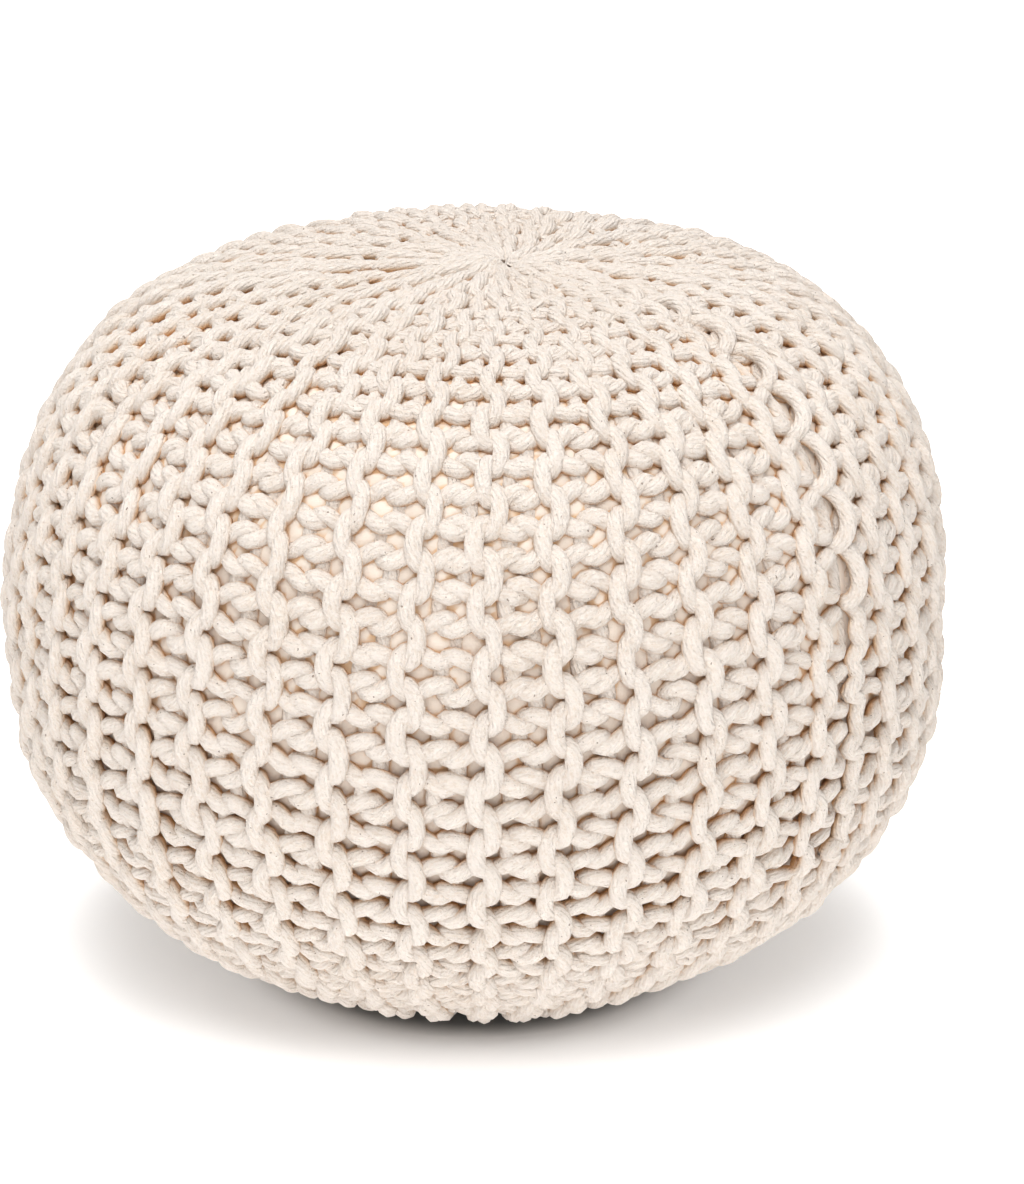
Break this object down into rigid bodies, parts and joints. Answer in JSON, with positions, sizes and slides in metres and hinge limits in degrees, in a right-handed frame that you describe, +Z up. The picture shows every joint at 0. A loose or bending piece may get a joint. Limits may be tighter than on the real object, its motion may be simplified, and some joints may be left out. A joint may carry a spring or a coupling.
{
  "type": "knitted pouf",
  "caption": "Round knitted pouf: a chunky ribbed cover drawn together at the top over a filled cloth casing, flat where it rests.",
  "frame": {"origin": "on the floor, at the middle of the pouf's width and depth", "axes": "+Z up through the drawn-up crown, -Y towards the front that the picture shows, +X to its right"},
  "size_m": [0.4574, 0.4548, 0.3553],
  "materials": {
    "cover_yarn": "soft matt cotton cord, low twist",
    "casing_cloth": "plain woven cotton cloth, matt"
  },
  "bodies": {
    "root": {"knitted_cover": "cover_yarn", "inner_casing": "casing_cloth"}
  },
  "joints": []
}
